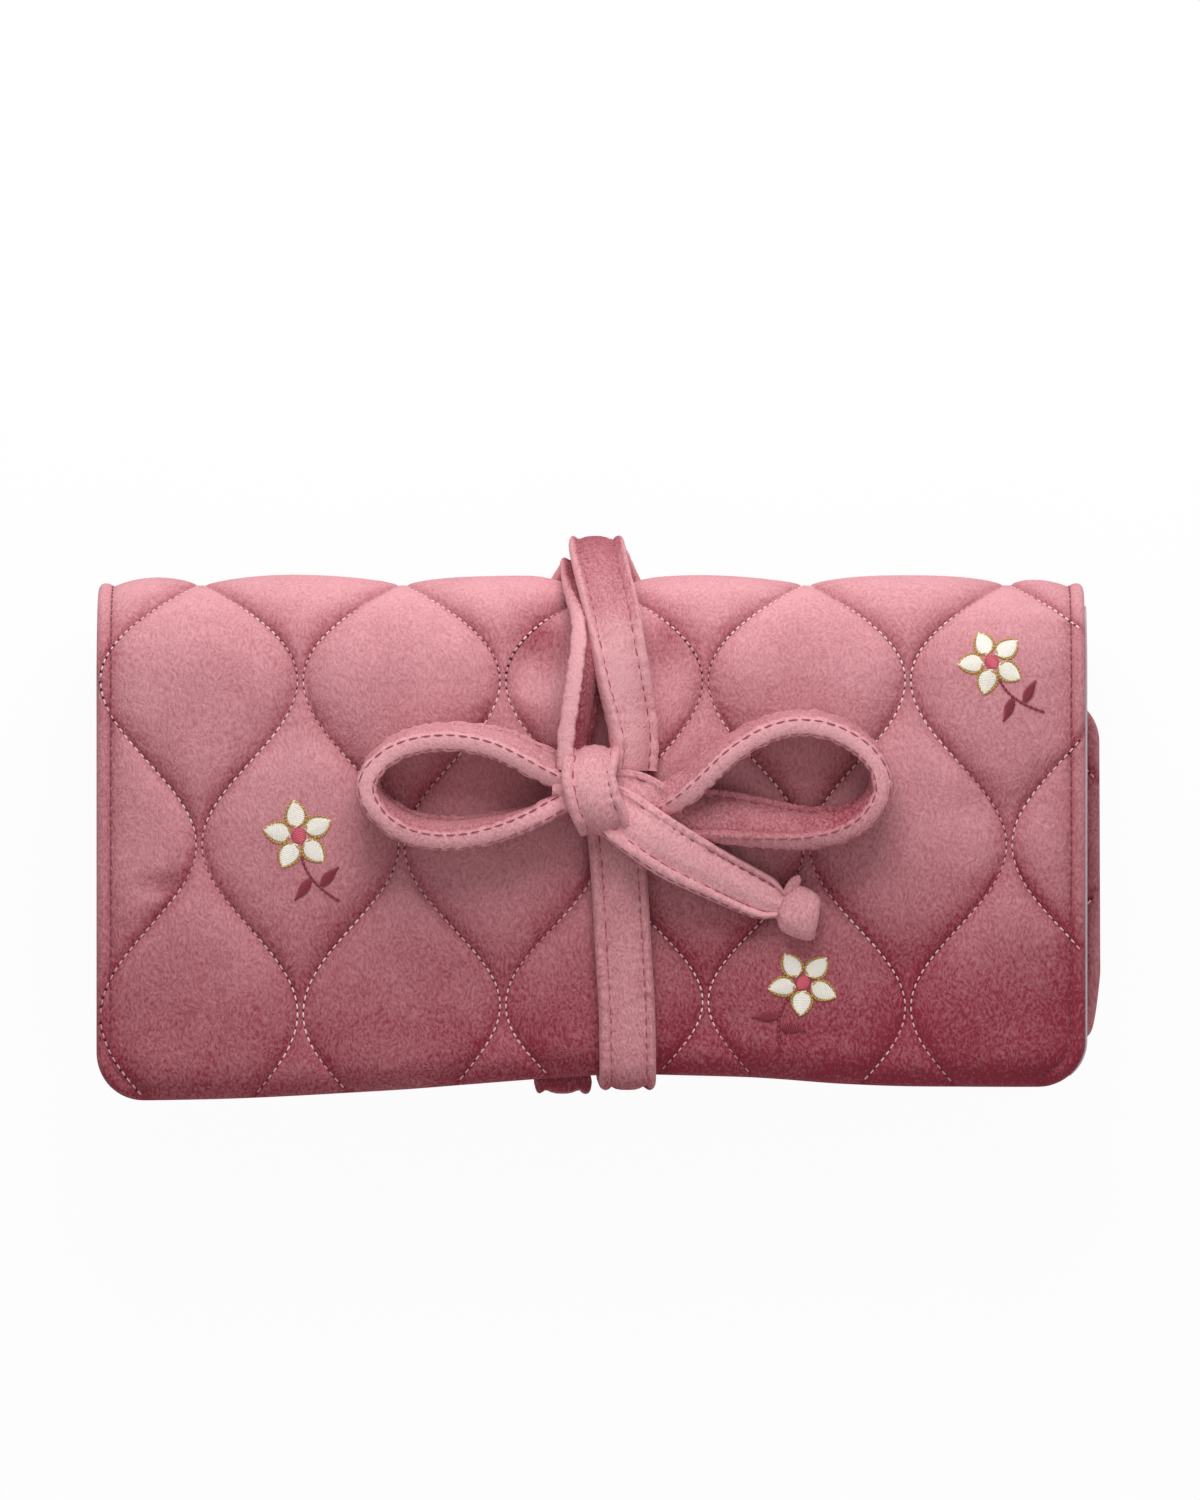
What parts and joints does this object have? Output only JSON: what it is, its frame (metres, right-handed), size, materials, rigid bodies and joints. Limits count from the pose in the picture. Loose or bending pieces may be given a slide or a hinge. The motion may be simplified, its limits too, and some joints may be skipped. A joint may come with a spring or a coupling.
{
  "type": "jewelry roll",
  "caption": "Quilted velvet jewelry roll folded in three, with a ring bar, slip pocket and zip pockets inside, tied shut by a long padded strap in a bow.",
  "frame": {"origin": "under the middle of the roll's box, on the face it lies on", "axes": "+X along the roll to the right of the flap, +Y to the top fold, +Z out of the flap"},
  "size_m": [0.2136, 0.121, 0.0619],
  "materials": {
    "velvet": "quilted dusty rose velvet",
    "strap": "light rose velvet strap",
    "lining": "pale lining cloth",
    "tape": "woven zip tape",
    "coil": "nylon coil",
    "metal": "polished"
  },
  "bodies": {
    "back": {"back_cover": "velvet", "back_lining": "lining", "slip_pocket": "lining", "slip_pocket_binding": "velvet", "ring_bar": "velvet", "ring_bar_sewn_tab": "velvet", "ring_bar_snap_tab": "velvet", "snap_base": "metal", "snap_cap": "metal", "tie_back_left": "strap", "tie_back_right": "strap"},
    "top_fold_rear": {"top_fold_rear": "velvet", "top_fold_rear_lining": "lining", "tie_top_rear_left": "strap", "tie_top_rear_right": "strap"},
    "top_fold_front": {"top_fold_front": "velvet", "top_fold_front_lining": "lining", "tie_top_front_left": "strap", "tie_top_front_right": "strap"},
    "flap": {"flap_cover": "velvet", "flap_lining": "lining", "flap_zip_panel_wide": "lining", "flap_zip_panel_narrow": "lining", "flap_zip_tape_lower": "tape", "flap_zip_tape_upper": "tape", "flap_zip_coil": "coil", "flap_zip_stop_left": "metal", "flap_zip_stop_right": "metal", "tie_front_left": "strap", "tie_front_right": "strap", "tie_front_lower": "strap", "tie_knot_wrap": "strap", "tie_knot_core": "strap", "tie_knot_lobe": "strap", "tie_loop_left": "strap", "tie_loop_right": "strap", "tie_tail": "strap", "tie_tail_cap": "strap"},
    "flap_slider": {"flap_zip_slider": "metal", "flap_zip_pull": "metal"},
    "bottom_fold": {"bottom_fold": "velvet", "bottom_fold_lining": "lining", "tie_bottom_left": "strap", "tie_bottom_right": "strap"},
    "inner_third": {"inner_cover": "velvet", "inner_lining": "lining", "inner_zip_panel_wide": "lining", "inner_zip_panel_narrow": "lining", "inner_zip_tape_lower": "tape", "inner_zip_tape_upper": "tape", "inner_zip_coil": "coil", "inner_zip_stop_left": "metal", "inner_zip_stop_right": "metal"},
    "inner_slider": {"inner_zip_slider": "metal", "inner_zip_pull": "metal"}
  },
  "joints": [
    {"name": "top_fold_rear_hinge", "type": "hinge", "parent": "back", "child": "top_fold_rear", "pos_m": [0, 0.04026, 0.00301], "axis": [-1, 0, 0], "range_deg": [0, 60], "deforming": ["tie_top_rear_left", "tie_top_rear_right"]},
    {"name": "top_fold_front_hinge", "type": "hinge", "parent": "top_fold_rear", "child": "top_fold_front", "pos_m": [0, 0.05151, 0.0225], "axis": [-1, 0, 0], "range_deg": [0, 60], "deforming": ["tie_top_front_left", "tie_top_front_right"]},
    {"name": "flap_hinge", "type": "hinge", "parent": "top_fold_front", "child": "flap", "pos_m": [0, 0.04026, 0.04199], "axis": [-1, 0, 0], "range_deg": [0, 60]},
    {"name": "bottom_fold_hinge", "type": "hinge", "parent": "back", "child": "bottom_fold", "pos_m": [0, -0.04489, 0.0041], "axis": [1, 0, 0], "range_deg": [0, 94.5], "deforming": ["tie_bottom_left", "tie_bottom_right"]},
    {"name": "inner_third_hinge", "type": "hinge", "parent": "bottom_fold", "child": "inner_third", "pos_m": [0, -0.04409, 0.02465], "axis": [1, 0, 0], "range_deg": [0, 94.5]},
    {"name": "flap_zip_slide", "type": "slide", "parent": "flap", "child": "flap_slider", "axis": [-1, 0, 0], "range_m": [0, 0.16]},
    {"name": "inner_zip_slide", "type": "slide", "parent": "inner_third", "child": "inner_slider", "axis": [-1, 0, 0], "range_m": [0, 0.16]}
  ],
  "couplings": [
    {"joint": "top_fold_front_hinge", "follows": "top_fold_rear_hinge", "ratio": 1},
    {"joint": "flap_hinge", "follows": "top_fold_rear_hinge", "ratio": 1},
    {"joint": "bottom_fold_hinge", "follows": "top_fold_rear_hinge", "ratio": 1.575},
    {"joint": "inner_third_hinge", "follows": "top_fold_rear_hinge", "ratio": 1.575}
  ]
}
